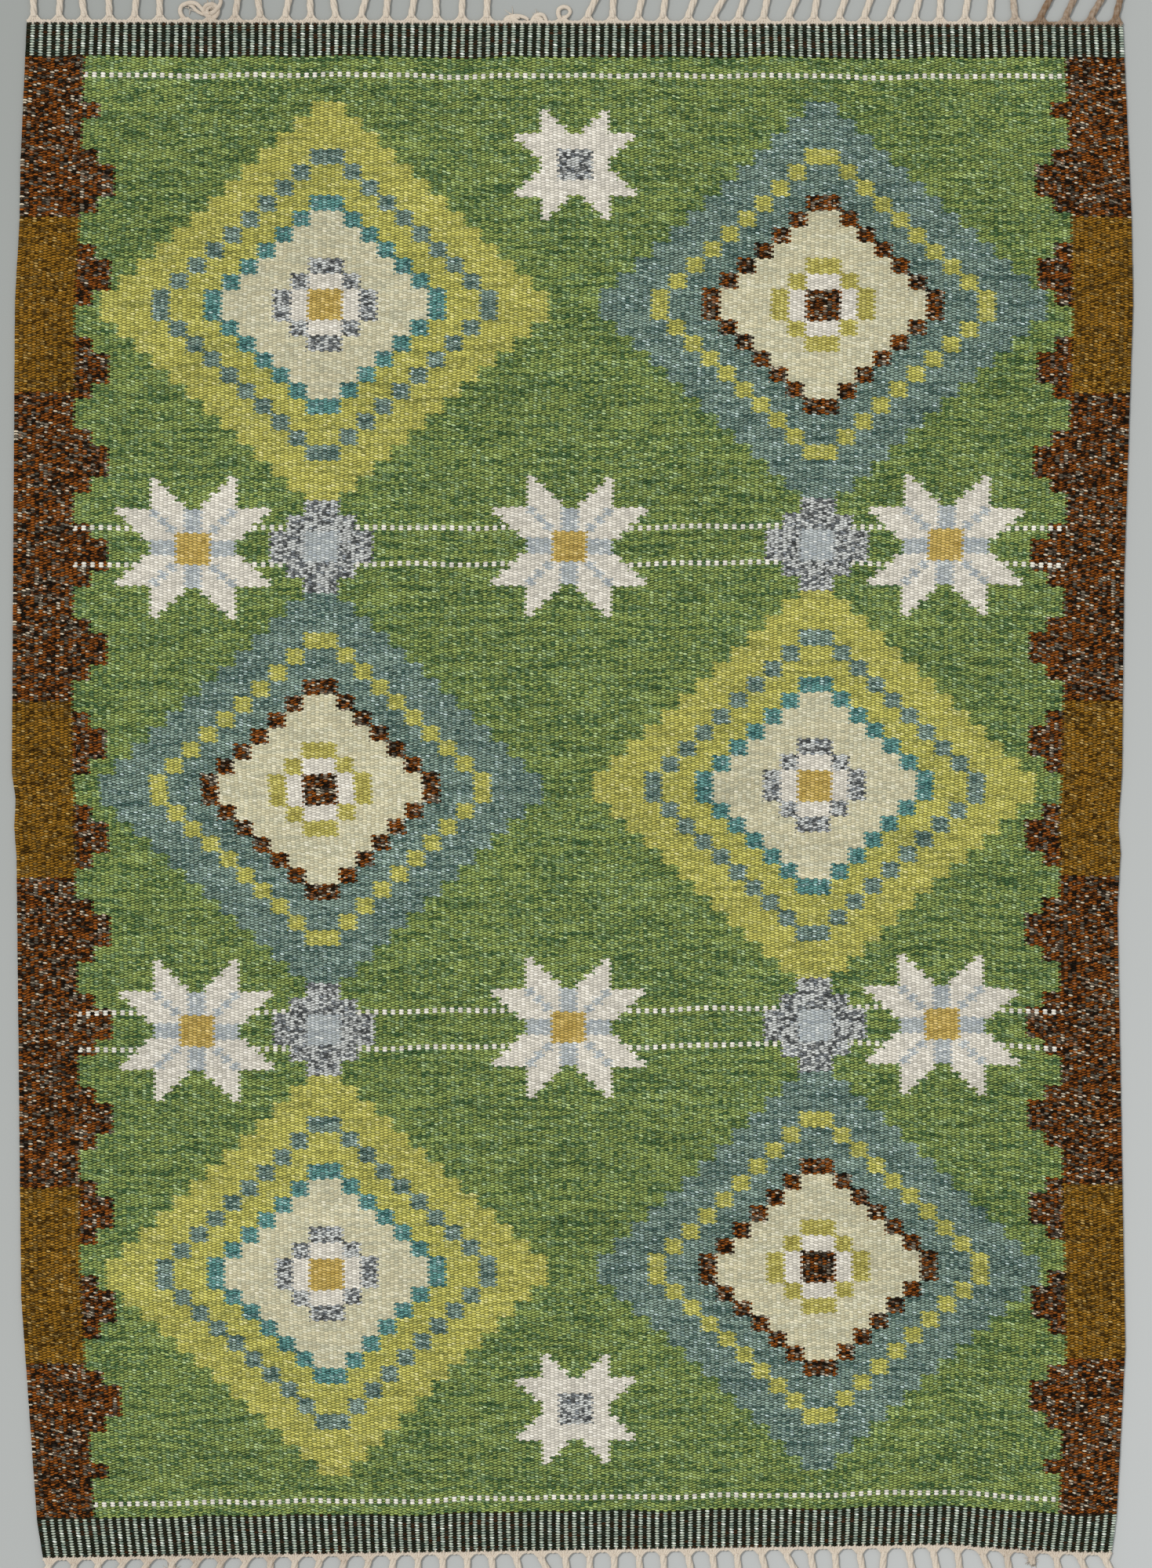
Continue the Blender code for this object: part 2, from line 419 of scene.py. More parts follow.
def new_material(name, roughness, sheen):
    made = bpy.data.materials.new(name)
    made.use_nodes = True
    shader = made.node_tree.nodes["Principled BSDF"]
    shader.inputs["Roughness"].default_value = roughness
    shader.inputs["Specular IOR Level"].default_value = SPECULAR
    shader.inputs["Sheen Weight"].default_value = sheen
    shader.inputs["Sheen Roughness"].default_value = SHEEN_ROUGHNESS
    return made, made.node_tree, shader


def plan(tree):
    """Metres across and along, as two fields."""
    coordinates = tree.nodes.new("ShaderNodeTexCoord")
    split = tree.nodes.new("ShaderNodeSeparateXYZ")
    tree.links.new(coordinates.outputs["Object"], split.inputs[0])
    return Field(tree, split.outputs[0]), Field(tree, split.outputs[1])


def bumped(tree, shader, height, distance):
    made = tree.nodes.new("ShaderNodeBump")
    made.inputs["Distance"].default_value = distance
    tree.links.new(height.socket, made.inputs["Height"])
    tree.links.new(made.outputs["Normal"], shader.inputs["Normal"])


def whole_steps(distance):
    """Distance from a middle, counted in whole steps from a half."""
    return abs(distance.floor() + 0.5)


def star_parts(across, along, size):
    """Petals, seams and middle of an eight-pointed star, in half cells from its middle."""
    x, y = whole_steps(across * 2), whole_steps(along * 2)
    near, far = x.least(y), x.most(y)
    whole = (near < size) & (far - near < size)
    seam = (far - near < 0.5) | (near < 0.6)
    return whole, seam, far < STAR_MIDDLE


def border_teeth(across, along):
    """Steps of the side borders into the field."""
    tooth = TOOTH_DEPTH - abs((along.floor() + 0.5).wrapped(TOOTH_PERIOD) - TOOTH_PERIOD / 2)
    depth = FIELD_HALF - whole_steps(across)
    return (depth < tooth) & (abs(along) < TEETH_REACH)


def yarn_chart(across, along, parity):
    """Which yarn shows at a place given in cells from the middle. The sides mirror each other."""
    index = across * 0.0 + YARN["green"]
    index = index.swapped(border_teeth(across, along), YARN["rust"])
    dotted = parity < 0.5
    for line in DOTTED_LINES:
        on_line = dotted & (abs(abs(along) - line) < DOT_HALF)
        index = index.swapped(on_line, YARN["dot"])

    row = ((along + DIAMOND_PITCH / 2) / DIAMOND_PITCH).floor()
    from_row = along - row * DIAMOND_PITCH
    rings = whole_steps(abs(across) - DIAMOND_ACROSS) + whole_steps(from_row)
    in_rows = abs(along) < DIAMOND_PITCH * DIAMOND_ROWS / 2
    kind = (row + (across > 0.0)).wrapped(2.0)
    for reach, first, second in DIAMOND_LAYERS:
        shown = kind * (YARN[second] - YARN[first]) + YARN[first]
        index = index.swapped(in_rows & (rings < reach), shown)

    from_star = (abs(across) - STAR_PITCH / 2 < 0.0) * STAR_PITCH
    from_star = abs(across) - STAR_PITCH + from_star
    whole, seam, middle = star_parts(from_star, abs(along) - STAR_ROW, STAR_SIZE)
    index = index.swapped(whole, YARN["off_white"])
    index = index.swapped(whole & seam, YARN["pale_blue"])
    index = index.swapped(middle, YARN["ochre"])
    from_between = whole_steps(abs(across) - DIAMOND_ACROSS) + whole_steps(abs(along) - STAR_ROW)
    index = index.swapped(from_between < BETWEEN_SIZE, YARN["grey_heather"])
    index = index.swapped(from_between < BETWEEN_MIDDLE, YARN["pale_blue"])
    whole, _, middle = star_parts(across, abs(along) - END_STAR_ROW, END_STAR_SIZE)
    index = index.swapped(whole, YARN["off_white"])
    index = index.swapped(middle, YARN["grey_heather"])

    borders = abs(across) > FIELD_HALF
    stretch = abs(from_row) < BROWN_HALF
    index = index.swapped(borders, stretch * (YARN["brown"] - YARN["rust"]) + YARN["rust"])
    far_band = along > CELLS_ALONG / 2 - FAR_BAND_PICKS / CELL_PICKS
    near_band = along < NEAR_BAND_PICKS / CELL_PICKS - CELLS_ALONG / 2
    stripes = parity * (YARN["band_pale"] - YARN["band_dark"]) + YARN["band_dark"]
    return index.swapped(far_band | near_band, stripes)


def wool_material():
    """Weft-faced wool: beads over ribs, each of the yarn that the chart gives, and heathered."""
    made, tree, shader = new_material("woven wool", 0.9, 0.0)
    uv = tree.nodes.new("ShaderNodeUVMap")
    uv.uv_map = WEAVE_MAP
    split = tree.nodes.new("ShaderNodeSeparateXYZ")
    tree.links.new(uv.outputs["UV"], split.inputs[0])
    u, v = Field(tree, split.outputs[0]), Field(tree, split.outputs[1])

    # A bead reaches over its rib's sides, between the two beads beside it.
    side = (u + 0.5).floor().wrapped(2.0) * -2.0 + 1.0
    rib = (u - (v * math.pi).cosine() * side * BEAD_OVERLAP).floor()
    parity = rib.wrapped(2.0)
    doubled = (v + parity) / 2
    bead = doubled.floor()
    dice = speckle(tree, rib, bead)
    off_middle = u - rib - 0.5
    off_row = doubled - bead - 0.5 + off_middle * (dice - 0.5) * BEAD_SLANT
    half_height = (1.0 - (off_middle / BEAD_HALF) ** 2.0) * (dice * 0.14 + 0.43) + 0.02
    body = (1.0 - (off_row / half_height) ** 2.0).ramp(-0.05, 0.90)

    # Where two yarns meet in a row they are interlocked, so the join steps to and fro.
    join = ((v / 4).wrapped(1.0) > 0.5) * (2 * JOIN_DEPTH) - JOIN_DEPTH
    pick = bead * 2 - parity + 1
    across = (u + join - WARPS / 2) / CELL_WARPS
    along = (pick - PICKS / 2) / CELL_PICKS
    index = yarn_chart(across, along, parity)
    traits = lookup(tree, index, [(y.seconds, y.flecks, y.grain, y.depth) for y in YARNS])
    split_traits = tree.nodes.new("ShaderNodeSeparateColor")
    tree.links.new(traits.outputs["Color"], split_traits.inputs[0])
    seconds, flecks, grain = (Field(tree, split_traits.outputs[i]) for i in range(3))
    # depth: how strong the painted shade in gaps and valleys and the painted highlight on crests
    # are
    depth = Field(tree, traits.outputs["Alpha"])

    # Each pair of picks is its own length of yarn, so its streaks start afresh beside the last.
    row_seed = bead * ROW_STEP + parity * PAIR_STEP
    # In each noise below, u and v are scaled to its lumps in a rib and in a pick.
    cluster = noise(tree, u * 0.05, v * 0.26, 2.0)
    long_streak = noise(tree, u * 0.13, row_seed, 1.0) * 0.6 + cluster * 0.4
    short_streak = noise(tree, u * 0.62, row_seed + 40.5, 0.0) * 0.7 + dice * 0.3
    streak = long_streak + grain * (short_streak - long_streak)
    strand = noise(tree, u * 0.8, v * 2.1, 1.0, 3.0)
    second_share = ((streak - 0.5) * 4.0 + (strand - 0.5) * 1.8 + seconds).ramp(0.25, 0.75)
    glint = noise(tree, u * 0.9, row_seed + 90.2, 0.0) * 0.6 + dice * 0.4
    crest = (1.0 - (off_row / half_height * 1.5) ** 2.0).ramp(-0.2, 1.0)
    # Flecks are the yarn's own lighter fibres, but they are kept mostly to the bead crests as a
    # painted highlight.
    fleck_and_highlight_share = (glint + flecks).ramp(0.72, 0.84) * (crest * 0.85 + 0.05)
    fleck_and_highlight_share = fleck_and_highlight_share.most((dice - 0.62) * 0.7)
    main = lookup(tree, index, [linear(*y.main) for y in YARNS]).outputs["Color"]
    second = lookup(tree, index, [linear(*y.second) for y in YARNS]).outputs["Color"]
    fleck = lookup(tree, index, [linear(*y.fleck) for y in YARNS]).outputs["Color"]
    colour = blended(tree, second_share, main, second)
    colour = blended(tree, fleck_and_highlight_share, colour, fleck)

    fibre = noise(tree, u * 2.2, v * 5.0, 2.0, 9.0)
    wear = noise(tree, u * 0.012, v * 0.006, 2.0, 5.0) * 0.5
    wear = wear + noise(tree, u * 0.006, v * 0.03) * 0.5
    # Painted shade: the colour is darker in the gaps between beads and in the valleys between
    # ribs, by the yarn's depth.
    valley = abs(off_middle * 2) ** 3.0
    shade = (1.0 - depth * (1.0 - body)) * (1.0 - (depth * 0.3 + 0.06) * valley)
    tint = 0.40 + 0.50 * wear + 0.36 * dice + 0.46 * fibre
    # Painted highlight: bead crests brightened and the rest dimmed a little, by the yarn's depth.
    painted_highlight = crest * depth * 0.55 + 0.88
    colour = brightened(tree, colour, shade * tint * painted_highlight)
    tree.links.new(colour, shader.inputs["Base Color"])
    bumped(tree, shader, body + 0.3 * fibre, BEAD_BUMP)
    return made


def yarn_material():
    """Off-white warp yarn, soft and slightly hairy, browned where it is dirty."""
    made, tree, shader = new_material("warp yarn", 0.9, 0.05)
    tone = tree.nodes.new("ShaderNodeAttribute")
    tone.attribute_name = "tone"
    dirt = Field(tree, tone.outputs["Fac"])
    x, y = plan(tree)
    lumps = noise(tree, x * 180, y * 180, 3.0)
    fibres = noise(tree, x * 900, y * 900, 2.0)
    stain = (dirt + (lumps - 0.5) * 0.6).ramp(0.20, 1.0)
    clean = blended(tree, fibres.ramp(0.35, 0.65), linear(212, 197, 178), linear(230, 218, 201))
    colour = blended(tree, stain, clean, linear(128, 100, 74))
    colour = brightened(tree, colour, 0.80 + 0.34 * lumps)
    tree.links.new(colour, shader.inputs["Base Color"])
    bumped(tree, shader, lumps * 0.5 + fibres * 0.5, YARN_BUMP)
    return made


def floor_material():
    made, tree, shader = new_material("smooth floor", 0.55, 0.0)
    x, y = plan(tree)
    cloudy = noise(tree, x * 1.3, y * 1.3, 3.0) * 0.1
    to_right, to_far = x.ramp(-FLOOR_FADE, FLOOR_FADE), y.ramp(-FLOOR_FADE, FLOOR_FADE)
    lit = to_right * 0.45 + (1.0 - to_far) * 0.45
    colour = blended(tree, cloudy + lit, linear(160, 163, 159), linear(203, 205, 204))
    tree.links.new(colour, shader.inputs["Base Color"])
    return made


def rim_curves():
    """The cloth's outline, read from its solid: x of both selvedges by y, y of both ends by x."""
    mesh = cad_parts["rug_cloth"].data
    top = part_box("rug_cloth")[1].z
    wall = {
        (round(p.co.x, 6), round(p.co.y, 6))
        for p in mesh.vertices
        if top / 2 < p.co.z < top - 0.5 * MM
    }
    ring = sorted(wall, key=lambda p: math.atan2(p[1], p[0]))
    corner = {
        (sx, sy): ring.index(max(ring, key=lambda p: sx * p[0] + sy * p[1]))
        for sx in (-1, 1)
        for sy in (-1, 1)
    }

    def stretch(first, last):
        """Points round the outline from one corner to another, as columns."""
        a, b = corner[first], corner[last]
        return np.array(ring[a : b + 1] if a <= b else ring[a:] + ring[: b + 1])

    near, right = stretch((-1, -1), (1, -1)), stretch((1, -1), (1, 1))
    far, left = stretch((1, 1), (-1, 1)), stretch((-1, 1), (-1, -1))

    def curve(points, by):
        points = points[np.argsort(points[:, by])]
        return lambda at: np.interp(at, points[:, by], points[:, 1 - by])

    return curve(left, 1), curve(right, 1), curve(near, 0), curve(far, 0)


left_at, right_at, near_at, far_at = rim_curves()
cloth_low, cloth_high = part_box("rug_cloth")
CLOTH_LENGTH = float(far_at(0.0) - near_at(0.0))


def place(across, along):
    """Plan position of a share of the width and a share of the length, as arrays."""
    y = near_at(0.0) + along * CLOTH_LENGTH
    for _ in range(3):
        x = left_at(y) + across * (right_at(y) - left_at(y))
        y = near_at(x) + along * (far_at(x) - near_at(x))
    return x, y


def waves(across, along, seed):
    """Slow unevenness between about -1 and 1."""
    draw = random.Random(seed)
    total = across * 0.0
    for turns in (3, 5, 8, 13):
        lean, phase = draw.uniform(-1, 1), draw.uniform(0, math.tau)
        total = total + np.sin(math.tau * turns * (along + lean * across) + phase) / 3
    return total


def cloth_rows():
    """Shares of the length at which the surface has its rows, closer at the ends."""
    near = np.array([0.0, 0.15, 0.45, 1.0]) * END_ROUND / CLOTH_LENGTH
    inner = np.linspace(0, 1, INNER_ROWS + 2)[1:-1]
    return np.concatenate([near, inner, 1 - near[::-1]])


def cloth_surface():
    """Places of the upper surface's points, by row and column, with their weave places."""
    shares = cloth_rows()
    columns = WARPS * SEGMENTS + 1
    across, along = np.meshgrid(np.linspace(0, 1, columns), shares)
    x, y = place(across, along)
    # About 1.4 m wide and 1.9 m long, so this is nearly the metres from the nearest edge.
    inside = np.minimum(np.minimum(across, 1 - across) * 1.4, np.minimum(along, 1 - along) * 1.9)
    loose = np.clip(inside / LOOSE_BY, 0, 1)
    x = x + DRIFT_ACROSS * loose * waves(across, along, 3)
    y = y + DRIFT_ALONG * loose * waves(along, across, 5)
    phase = (np.arange(columns) % SEGMENTS)[None, :] / SEGMENTS
    crest = np.where(phase == 0, 0.0, 1.0)
    from_end = np.minimum(along, 1 - along) * CLOTH_LENGTH
    rounding = np.sqrt(np.clip(1 - (1 - np.clip(from_end / END_ROUND, 0, 1)) ** 2, 0, 1))
    top = cloth_high.z - RIB_DEPTH * (1 - crest) + SWELL * waves(across, along, 8) * loose
    z = RIM_HEIGHT + (top - RIM_HEIGHT) * rounding
    z[:, 0] = RIM_HEIGHT
    z[:, -1] = RIM_HEIGHT
    # At both ends the ribs that the dark yarn covers stand out a little, and the others draw in.
    rib = np.minimum(np.arange(columns) // SEGMENTS, WARPS - 1)[None, :]
    stand_out = crest * np.where(rib % 2 == 0, 1.0, -0.3) * MM * (from_end < END_ROUND / 2)
    y = y + stand_out * np.where(along > 0.5, 1.0, -1.0)
    u = np.broadcast_to(np.arange(columns) / SEGMENTS, x.shape)
    v = along * PICKS
    return np.stack([x, y, z], -1), np.stack([u, v], -1), across, along


def smooth_piece(name, points, faces, finish):
    """An object of these points and faces, in the scene."""
    mesh = bpy.data.meshes.new(name)
    mesh.from_pydata(points, [], faces)
    mesh.shade_smooth()
    mesh.materials.append(finish)
    made = bpy.data.objects.new(name, mesh)
    bpy.context.scene.collection.objects.link(made)
    return made


def face_corners(mesh):
    """The point at each corner of each face."""
    corners = np.zeros(len(mesh.loops), int)
    mesh.loops.foreach_get("vertex_index", corners)
    return corners


def add_map(mesh, name, places):
    mesh.uv_layers.new(name=name).uv.foreach_set("vector", places.ravel())


def cloth_piece(finish):
    """The woven cloth: a ribbed upper surface, closed by a flat underside."""
    points, weave, across, along = cloth_surface()
    rows, columns = across.shape
    grid = np.arange(rows * columns).reshape(rows, columns)
    quads = np.stack([grid[:-1, :-1], grid[:-1, 1:], grid[1:, 1:], grid[1:, :-1]], -1)
    faces = [tuple(q) for q in quads.reshape(-1, 4).tolist()]
    upper_count = len(faces)

    step = UNDER_RIBS * SEGMENTS
    picked = [0, 2, *range(step, columns - 3, step), columns - 3, columns - 1]
    under = grid[:, picked]
    extra = points[1:-1, picked[1:-1]]
    extra[..., 2] = REST_GAP
    extra_weave = weave[1:-1, picked[1:-1]]
    extra_share = np.stack([across, along], -1)[1:-1, picked[1:-1]]
    inner = under[1:-1, 1:-1]
    inner[...] = rows * columns + np.arange(inner.size).reshape(inner.shape)
    for k in range(len(picked) - 1):
        for r in range(1, rows - 2):
            corners = (under[r, k], under[r + 1, k], under[r + 1, k + 1], under[r, k + 1])
            faces.append(tuple(int(c) for c in corners))
        rim = grid[0, picked[k] : picked[k + 1] + 1].tolist()
        faces.append((*rim[::-1], int(under[1, k]), int(under[1, k + 1])))
        rim = grid[-1, picked[k] : picked[k + 1] + 1].tolist()
        faces.append((*rim, int(under[-2, k + 1]), int(under[-2, k])))

    flat = np.concatenate([points.reshape(-1, 3), extra.reshape(-1, 3)])
    weave = np.concatenate([weave.reshape(-1, 2), extra_weave.reshape(-1, 2)])
    share = np.stack([across, along], -1).reshape(-1, 2)
    share = np.concatenate([share, extra_share.reshape(-1, 2)])
    piece = smooth_piece("woven_cloth", flat.tolist(), faces, finish)
    corners = face_corners(piece.data)
    add_map(piece.data, WEAVE_MAP, weave[corners])
    # Most of the bake's image goes to the upper side.
    baked = share[corners] * (UPPER_BAKE, 1.0)
    first_under = upper_count * 4
    under_share = share[corners[first_under:]]
    baked[first_under:] = under_share * (UNDER_BAKE, 1.0) + (UNDER_BAKE_AT, 0.0)
    add_map(piece.data, BAKE_MAP, baked)
    return piece


def selvedge_piece(finish):
    """The beads of weft that turn round the first and the last warp end."""
    per_pick = 2
    sides = 6
    along = (np.arange(PICKS * per_pick + 1) / (PICKS * per_pick))[:, None]
    turn = (math.tau * (np.arange(sides) + 0.5) / sides)[None, :]
    points, weave, faces = [], [], []
    for share, inward, first_rib in ((0.0, 1.0, 0), (1.0, -1.0, WARPS - 1)):
        x, y = place(np.full(along.shape, share), along)
        phase = (along * PICKS + first_rib % 2) * math.pi / 2
        plump = SELVEDGE_RADIUS * (0.80 + 0.20 * np.abs(np.sin(phase)))
        plump = plump * (1.0 + 0.10 * waves(along * 0.0, along * 9.0, 21 + first_rib))
        across = x + inward * (SELVEDGE_RADIUS * SELVEDGE_INSET - plump * np.cos(turn))
        height = SELVEDGE_RADIUS * SELVEDGE_RISE + plump * np.sin(turn)
        first = len(points) * along.size * sides
        points.append(np.stack([across, y + turn * 0.0, height], -1).reshape(-1, 3))
        u = first_rib + 0.5 + np.cos(turn) * 0.3 + along * 0.0
        v = along * PICKS + turn * 0.0
        weave.append(np.stack([u, v], -1).reshape(-1, 2))
        ring = first + np.arange(sides)
        for i in range(along.size - 1):
            a = ring + i * sides
            b = np.roll(a, -1)
            quads = np.stack([a, b, b + sides, a + sides], -1)
            faces.extend(quads[:, :: int(inward)].tolist())
        faces.append(ring[:: -int(inward)].tolist())
        faces.append((ring + (along.size - 1) * sides)[:: int(inward)].tolist())
    piece = smooth_piece("selvedge_beads", np.concatenate(points).tolist(), faces, finish)
    add_map(piece.data, WEAVE_MAP, np.concatenate(weave)[face_corners(piece.data)])
    return piece


class Yarns:
    """Tubes of yarn gathered into one mesh, with a tone of dirt at each point."""

    def __init__(self):
        self.points = []
        self.faces = []
        self.tones = []

    def tube(self, line, radii, tone, sides=6, flat=1.0):
        """A tube along a line of points, with a radius at each, lower than wide where flat < 1."""
        line = [Vector(p) for p in line]
        first = len(self.points)
        for i, (at, radius) in enumerate(zip(line, radii)):
            ahead = line[min(i + 1, len(line) - 1)] - line[max(i - 1, 0)]
            side = ahead.cross(Vector((0, 0, 1))).normalized()
            up = side.cross(ahead).normalized()
            for k in range(sides):
                turn = math.tau * (k + 0.5) / sides
                out = side * math.cos(turn) + up * math.sin(turn) * flat
                self.points.append(at + out * radius)
                self.tones.append(tone(at.x) if callable(tone) else tone)
        for i in range(len(line) - 1):
            a, b = first + i * sides, first + (i + 1) * sides
            for k in range(sides):
                j = (k + 1) % sides
                self.faces.append((a + k, b + k, b + j, a + j))
        last = first + (len(line) - 1) * sides
        self.faces.append(tuple(range(first, first + sides)))
        self.faces.append(tuple(range(last + sides - 1, last - 1, -1)))

    def piece(self, name, finish):
        made = smooth_piece(name, self.points, self.faces, finish)
        tones = made.data.attributes.new("tone", "FLOAT", "POINT")
        tones.data.foreach_set("value", self.tones)
        return made


def heading(lean, curl, run, length):
    """Angle from straight out, a run along a strand."""
    taken_up = min(1.0, run / ROOT_BEND)
    loose = min(1.0, max(0.0, (run - HELD) / max(length - HELD, HELD)))
    kept = 1.0 + (KEPT_LEAN - 1.0) * loose
    return math.radians(lean * taken_up * kept + curl * loose)


def strand_line(start, way, lean, curl, length, steps):
    """Points along a strand's middle in plan, with the direction at each."""
    x, y = start
    line = [(x, y, 0.0)]
    for i in range(steps):
        angle = heading(lean, curl, (i + 0.5) / steps * length, length)
        x += math.sin(angle) * length / steps
        y += way * math.cos(angle) * length / steps
        line.append((x, y, angle))
    return line


def plied_cord(yarns, line, way, length, tone, draw):
    """Plies twisted loosely round each other along a strand, opening towards the tip."""
    start = draw.uniform(0, math.tau)
    stretch = length / (len(line) - 1)
    for ply in range(PLIES):
        path, radii = [], []
        for i, (x, y, angle) in enumerate(line):
            tip = max(0.0, i / (len(line) - 1) - OPENS_AT) / OPENS_OVER
            reach = (CORD_HALF - PLY_RADIUS) * (1.0 + 0.4 * tip)
            turn = start + math.tau * (ply / PLIES + i * stretch / PLY_TURN)
            side = math.cos(turn) * reach
            rise = (CORD_HALF + math.sin(turn) * (CORD_HALF - PLY_RADIUS)) * CORD_FLAT
            path.append((x + side * math.cos(angle), y - way * side * math.sin(angle), rise))
            radii.append(PLY_RADIUS * (1.0 - 0.3 * tip) * draw.uniform(0.95, 1.03))
        yarns.tube(path, radii, tone, sides=7, flat=CORD_FLAT)


def hairs(yarns, at, way, tone, draw, count, reach, spread):
    """Loose fibres from a place, given with a direction."""
    x, y, angle = at
    for _ in range(count):
        aim = angle + draw.uniform(-spread, spread)
        bend = draw.uniform(-0.7, 0.7)
        length = reach * draw.uniform(0.4, 1.0)
        side = draw.uniform(-3, 3) * MM
        px, py = x + side * math.cos(angle), y - way * side * math.sin(angle)
        z = draw.uniform(1.2, 3.4) * MM
        path = []
        for i in range(5):
            path.append((px, py, z))
            px += math.sin(aim + bend * i / 4) * length / 4
            py += way * math.cos(aim + bend * i / 4) * length / 4
            z = max(0.6 * MM, z - 0.5 * MM)
        yarns.tube(path, [r * MM for r in HAIR_RADII], tone, sides=4)


def gathered_root(yarns, root, edge, way, goal, tone, draw, sides):
    """Six warp ends that leave the cloth side by side and sweep together into the strand."""
    for i in range(ENDS_IN_STRAND):
        offset = (i - (ENDS_IN_STRAND - 1) / 2) * ROOT_PITCH
        squeeze = offset / ROOT_PITCH * 1.25 * MM
        leaves_at = min(max(root + offset, sides[0] + WARP_RADIUS), sides[1] - WARP_RADIUS)
        start = Vector((leaves_at, edge + way * 1.2 * MM, 2.4 * MM))
        bend = Vector((root + offset * 0.50, edge + way * 2.6 * MM, 3.2 * MM))
        end = Vector((goal[0] + squeeze, goal[1], 2.8 * MM))
        path = []
        for k in range(7):
            t = k / 6
            path.append(start * (1 - t) ** 2 + bend * 2 * t * (1 - t) + end * t * t)
        radii = [WARP_RADIUS * draw.uniform(0.92, 1.06) for _ in path]
        yarns.tube(path, radii, tone, sides=6)


def twined_edge(yarns, way, edge_at, left, right, tone):
    """Two yarns twined round each other along the cloth's end, and the warp ends between."""
    turn_length = (right - left) / WARPS * 2
    steps = int((right - left) / turn_length * 8)
    for ply in range(2):
        path = []
        for i in range(steps + 1):
            x = left + (right - left) * i / steps
            turn = math.tau * ((x - left) / turn_length + ply / 2)
            out = TWINE_OUT + TWINE_SWING * math.cos(turn)
            rise = TWINE_HEIGHT + TWINE_RISE * math.sin(turn)
            path.append((x, float(edge_at(x)) + way * out, rise))
        yarns.tube(path, [TWINE_RADIUS] * len(path), tone, sides=5)
    for i in range(WARPS // 2):
        x = left + (right - left) * (2 * i + 1.5) / WARPS
        y = float(edge_at(x))
        path = [(x, y + way * out * MM, rise * MM) for out, rise in NUB]
        yarns.tube(path, [r * MM for r in NUB_RADII], tone, sides=6)


def smooth_path(turns, finer=5):
    """A curve through given turns."""
    ends = (turns[0], *turns, turns[-1])
    path = []
    for i in range(1, len(ends) - 2):
        a, b, c, d = (Vector(p) for p in ends[i - 1 : i + 3])
        for k in range(finer):
            t = k / finer
            bend = 2 * a - 5 * b + 4 * c - d
            twist = 3 * b - a - 3 * c + d
            path.append((2 * b + (c - a) * t + bend * t * t + twist * t**3) / 2)
    return [*path, Vector(ends[-2])]


def folded_strand(yarns, root, edge, way, turns, tone, layer):
    """A strand that is folded over or tangled, following its turns."""
    path = [
        (root + p.x * MM, edge + way * p.y * MM, (2.0 + 0.9 * layer) * MM)
        for p in smooth_path(turns)
    ]
    shares = [i / (len(path) - 1) for i in range(len(path))]
    radii = [FOLDED_RADIUS * (1.0 - 0.35 * s * s) for s in shares]
    yarns.tube(path, radii, tone, sides=7, flat=0.5)


def fringe_piece(name, finish, way, leans, short, dirt):
    """One end's fringe: twined edge, gathered roots and plied cords."""
    edge_at = far_at if way > 0 else near_at
    end = np.array(1.0 if way > 0 else 0.0)
    left, right = (float(place(np.array(side), end)[0]) for side in (0.0, 1.0))
    draw = random.Random(FRINGE_SEED + way)
    extra = random.Random(FRINGE_SEED * 7 + way)

    def dirt_at(x):
        strand = (x - left) / (right - left) * STRANDS - 0.5
        return float(np.interp(strand, *zip(*dirt)))

    yarns = Yarns()
    twined_edge(yarns, way, edge_at, left, right, dirt_at)
    for k, lean in enumerate(leans):
        share = CORNER_MARGIN + (1 - 2 * CORNER_MARGIN) * k / (STRANDS - 1)
        root = left + (right - left) * share
        edge = float(edge_at(root))
        curl = draw.uniform(-CURL_DEG, CURL_DEG)
        full = STRAND_LENGTH + draw.uniform(-LENGTH_SPREAD, LENGTH_SPREAD)
        length = short.get(k, full)
        tone = dirt_at(root) + extra.uniform(-0.05, 0.12)
        steps = max(6, round(length / CORD_STEP))
        line = strand_line((root, edge + way * STRIP_WIDTH), way, lean, curl, length, steps)
        goal = min(line, key=lambda at: abs(abs(at[1] - edge) - GATHERED_BY))
        fuzz = FUZZY[way].get(k, 0)
        hairs(yarns, line[len(line) // 2], way, tone, extra, fuzz, FUZZ_REACH, math.pi)
        if way > 0 and k in FOLDED:
            goal = (root, edge + FOLD_GATHERED_BY)
            gathered_root(yarns, root, edge, way, goal, tone, extra, (left, right))
            for layer, turns in enumerate(FOLDED[k]):
                folded_strand(yarns, root, edge, way, turns, tone, layer)
            continue
        gathered_root(yarns, root, edge, way, goal, tone, extra, (left, right))
        plied_cord(yarns, line[1:], way, length, tone, extra)
        hairs(yarns, line[-1], way, tone, extra, TIP_HAIRS, TIP_REACH, TIP_SPREAD)
    return yarns.piece(name, finish)


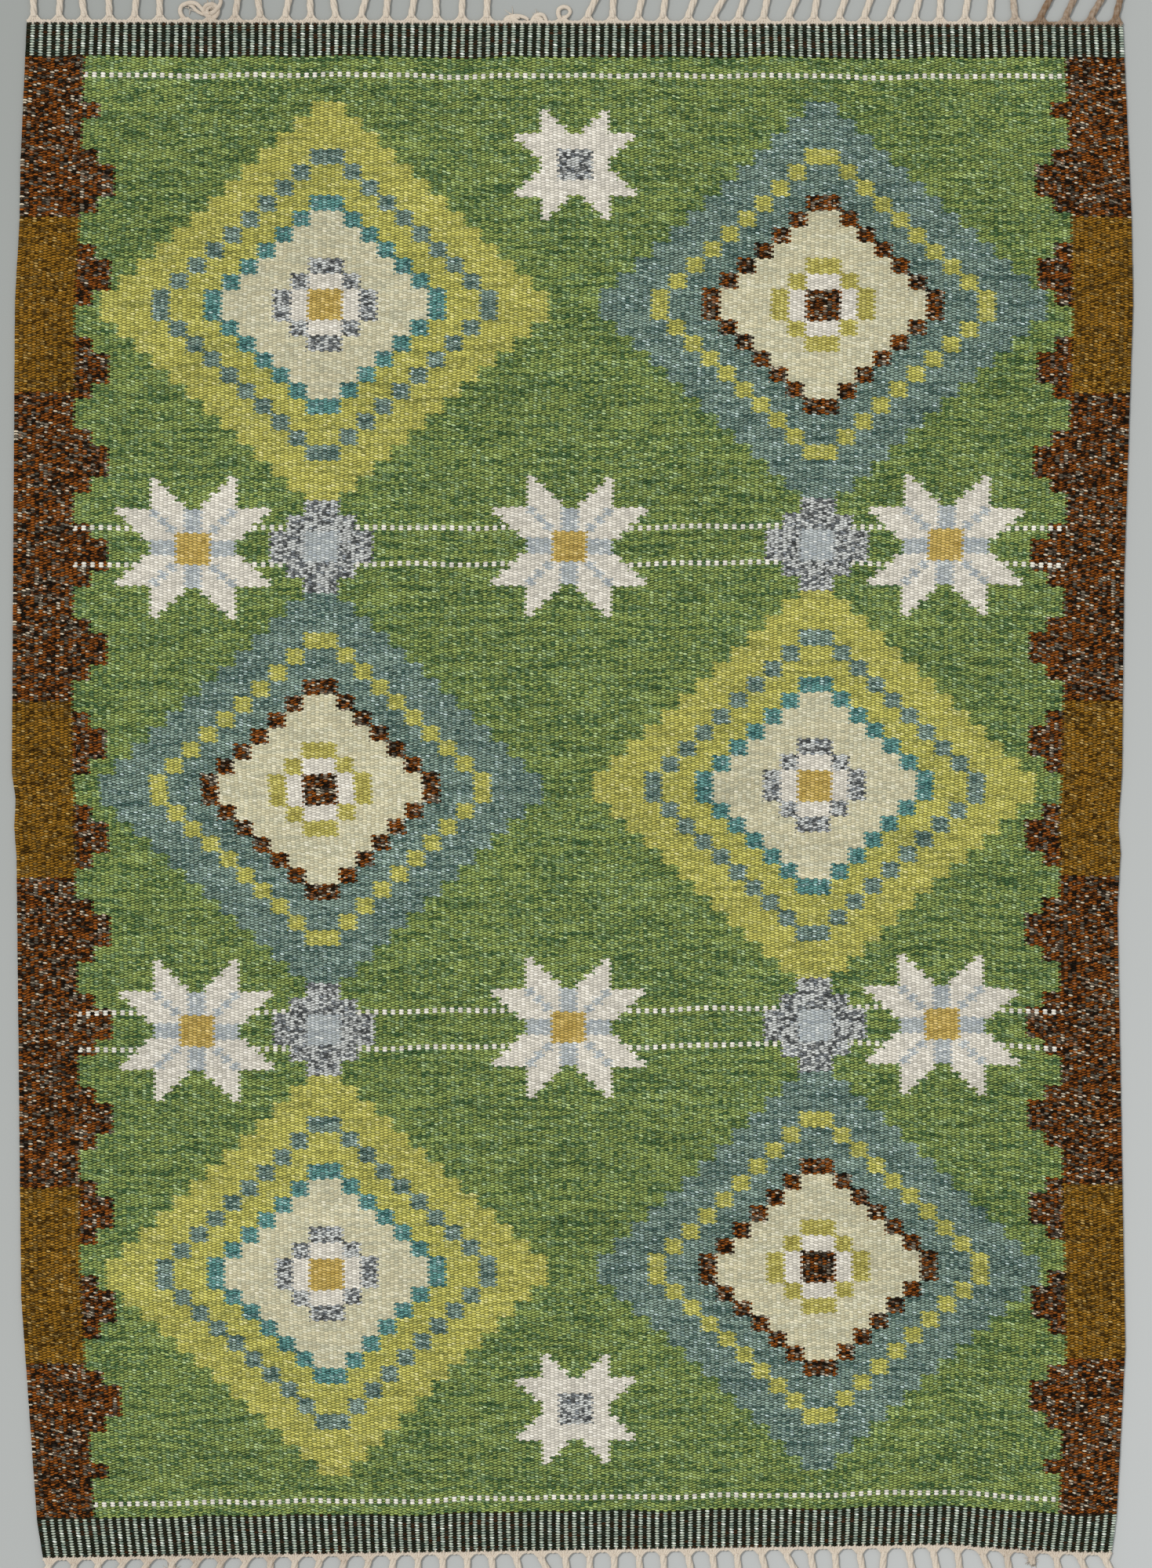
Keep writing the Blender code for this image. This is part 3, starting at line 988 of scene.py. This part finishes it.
def floor_piece():
    bpy.ops.mesh.primitive_plane_add(size=FLOOR_SIZE, location=(0, 0, 0))
    made = bpy.context.object
    made.name = "floor"
    made.data.materials.append(floor_material())


def lights():
    world = bpy.data.worlds.new("soft room")
    world.use_nodes = True
    background = world.node_tree.nodes["Background"]
    background.inputs["Color"].default_value = (0.96, 0.98, 1.0, 1.0)
    background.inputs["Strength"].default_value = ROOM_LIGHT
    bpy.context.scene.world = world
    sun = bpy.data.lights.new("key", "SUN")
    sun.energy = KEY_LIGHT
    sun.angle = math.radians(KEY_SPREAD_DEG)
    sun.color = (1.0, 0.985, 0.96)
    lamp = bpy.data.objects.new("key", sun)
    lamp.rotation_euler = Vector(KEY_AIM).to_track_quat("-Z", "Y").to_euler()
    bpy.context.scene.collection.objects.link(lamp)


def camera():
    """Straight down, with the photograph's frame."""
    data = bpy.data.cameras.new("camera")
    data.lens = LENS_MM
    data.sensor_width = SENSOR_MM
    made = bpy.data.objects.new("camera", data)
    distance = VIEW_LENGTH * LENS_MM / SENSOR_MM
    centre_x = cloth_low.x - LEFT_MARGIN + VIEW_WIDTH / 2
    centre_y = cloth_high.y + FAR_MARGIN - VIEW_LENGTH / 2
    made.location = (centre_x, centre_y, distance + cloth_high.z)
    bpy.context.scene.collection.objects.link(made)
    bpy.context.scene.camera = made


def main():
    wool = wool_material()
    warp = yarn_material()
    cloth = cloth_piece(wool)
    selvedge = selvedge_piece(wool)
    far = fringe_piece("fringe_cords_far", warp, 1, FAR_LEANS, FAR_SHORT, FAR_DIRT)
    near = fringe_piece("fringe_cords_near", warp, -1, NEAR_LEANS, NEAR_SHORT, NEAR_DIRT)
    for piece, node, slot in (
        (cloth, "rug_cloth", "woven_wool"),
        (selvedge, None, "woven_wool"),
        (far, "fringe_far", "warp_yarn"),
        (near, "fringe_near", "warp_yarn"),
    ):
        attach(piece, BODY)
        if node:
            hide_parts(node)
    floor_piece()
    lights()
    camera()
    bpy.context.scene.view_settings.view_transform = "Standard"


main()
